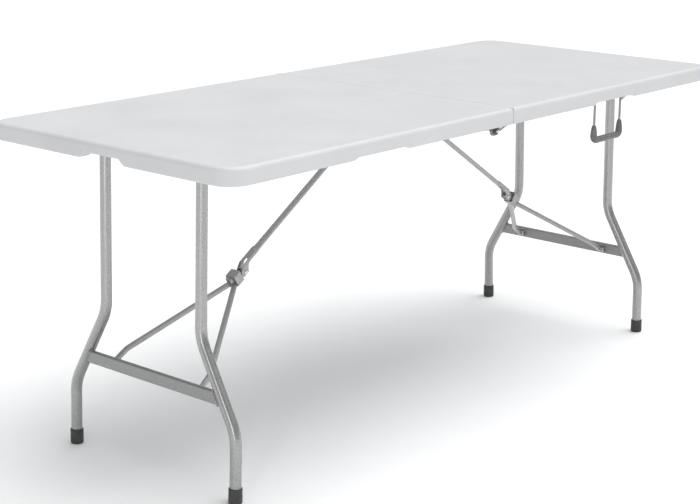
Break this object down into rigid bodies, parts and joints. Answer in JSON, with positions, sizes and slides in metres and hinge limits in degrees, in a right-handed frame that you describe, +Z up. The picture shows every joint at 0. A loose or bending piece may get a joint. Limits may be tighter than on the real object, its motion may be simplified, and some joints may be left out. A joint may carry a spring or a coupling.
{
  "type": "folding table",
  "caption": "Fold-in-half table with moulded half tops, two folding wishbone leg frames with lockable knee braces, and a swinging carry handle on the front rim.",
  "frame": {"origin": "on the floor, at the centre of the table's outline", "axes": "X along the table with the seam at x = 0, Y across it with the handle on the -Y side, +Z up"},
  "size_m": [1.8, 0.74, 0.74],
  "materials": {
    "table_top": "fine-textured blow-moulded plastic",
    "steel_grey": "grey hammertone powder coat",
    "zinc": "bright zinc plate",
    "handle_wire": "grey powder coat",
    "dark_plastic": "moulded, lightly textured",
    "foot_rubber": "moulded, dark grey"
  },
  "bodies": {
    "left_top": {"top_panel_left": "table_top", "rail_front_left": "steel_grey", "rail_back_left": "steel_grey", "rail_screws_left": "zinc", "brace_bar_left": "steel_grey", "bar_clips_left": "zinc", "pivot_saddles_left": "steel_grey"},
    "right_top": {"top_panel_right": "table_top", "rail_front_right": "steel_grey", "rail_back_right": "steel_grey", "rail_screws_right": "zinc", "brace_bar_right": "steel_grey", "bar_clips_right": "zinc", "pivot_saddles_right": "steel_grey", "hinge_bolts": "zinc", "hinge_nuts": "zinc", "hinge_washers": "zinc", "handle_brackets": "table_top", "handle_screws": "zinc"},
    "handle": {"handle_bail": "handle_wire", "handle_grip": "dark_plastic"},
    "left_strut": {"strut_left": "steel_grey", "knee_rivet_left": "zinc"},
    "left_arms": {"brace_fork_left": "steel_grey", "arm_front_left": "steel_grey", "arm_back_left": "steel_grey"},
    "left_leg": {"arm_brackets_left": "steel_grey", "arm_rivets_left": "zinc", "crossbar_left": "steel_grey", "leg_front_left": "steel_grey", "leg_back_left": "steel_grey", "pivot_tube_left": "steel_grey", "pivot_plugs_left": "dark_plastic", "foot_front_left": "foot_rubber", "foot_back_left": "foot_rubber"},
    "left_ring": {"lock_ring_left": "steel_grey"},
    "right_strut": {"strut_right": "steel_grey", "knee_rivet_right": "zinc"},
    "right_arms": {"brace_fork_right": "steel_grey", "arm_front_right": "steel_grey", "arm_back_right": "steel_grey"},
    "right_leg": {"arm_brackets_right": "steel_grey", "arm_rivets_right": "zinc", "crossbar_right": "steel_grey", "leg_front_right": "steel_grey", "leg_back_right": "steel_grey", "pivot_tube_right": "steel_grey", "pivot_plugs_right": "dark_plastic", "foot_front_right": "foot_rubber", "foot_back_right": "foot_rubber"},
    "right_ring": {"lock_ring_right": "steel_grey"}
  },
  "joints": [
    {"name": "centre_fold", "type": "hinge", "parent": "left_top", "child": "right_top", "pos_m": [0, 0, 0.681], "axis": [0, 1, 0], "range_deg": [0, 88]},
    {"name": "handle_swing", "type": "hinge", "parent": "right_top", "child": "handle", "pos_m": [0.416, -0.356, 0.7035], "axis": [-1, 0, 0], "range_deg": [-75, 90]},
    {"name": "left_strut_swing", "type": "hinge", "parent": "left_top", "child": "left_strut", "pos_m": [-0.036, 0, 0.694], "axis": [0, 1, 0], "range_deg": [0, 33.41]},
    {"name": "left_leg_fold", "type": "hinge", "parent": "left_strut", "child": "left_arms", "pos_m": [-0.499, 0, 0.39059], "axis": [0, -1, 0], "range_deg": [0, 178.83]},
    {"name": "left_leg_hinge", "type": "hinge", "parent": "left_arms", "child": "left_leg", "pos_m": [-0.76555, 0, 0.21592], "axis": [0, 1, 0], "range_deg": [0, 55.63]},
    {"name": "left_ring_slide", "type": "slide", "parent": "left_arms", "child": "left_ring", "axis": [0.8364, 0, 0.5481], "range_m": [0, 0.056]},
    {"name": "right_strut_swing", "type": "hinge", "parent": "right_top", "child": "right_strut", "pos_m": [0.036, 0, 0.694], "axis": [0, -1, 0], "range_deg": [0, 33.41]},
    {"name": "right_leg_fold", "type": "hinge", "parent": "right_strut", "child": "right_arms", "pos_m": [0.499, 0, 0.39059], "axis": [0, 1, 0], "range_deg": [0, 178.83]},
    {"name": "right_leg_hinge", "type": "hinge", "parent": "right_arms", "child": "right_leg", "pos_m": [0.76555, 0, 0.21592], "axis": [0, -1, 0], "range_deg": [0, 55.63]},
    {"name": "right_ring_slide", "type": "slide", "parent": "right_arms", "child": "right_ring", "axis": [-0.8364, 0, 0.5481], "range_m": [0, 0.056]}
  ],
  "couplings": [
    {"joint": "left_leg_fold", "follows": "left_strut_swing", "ratio": 5.343},
    {"joint": "left_leg_hinge", "follows": "left_strut_swing", "ratio": 1.662},
    {"joint": "right_leg_fold", "follows": "right_strut_swing", "ratio": 5.343},
    {"joint": "right_leg_hinge", "follows": "right_strut_swing", "ratio": 1.662}
  ]
}
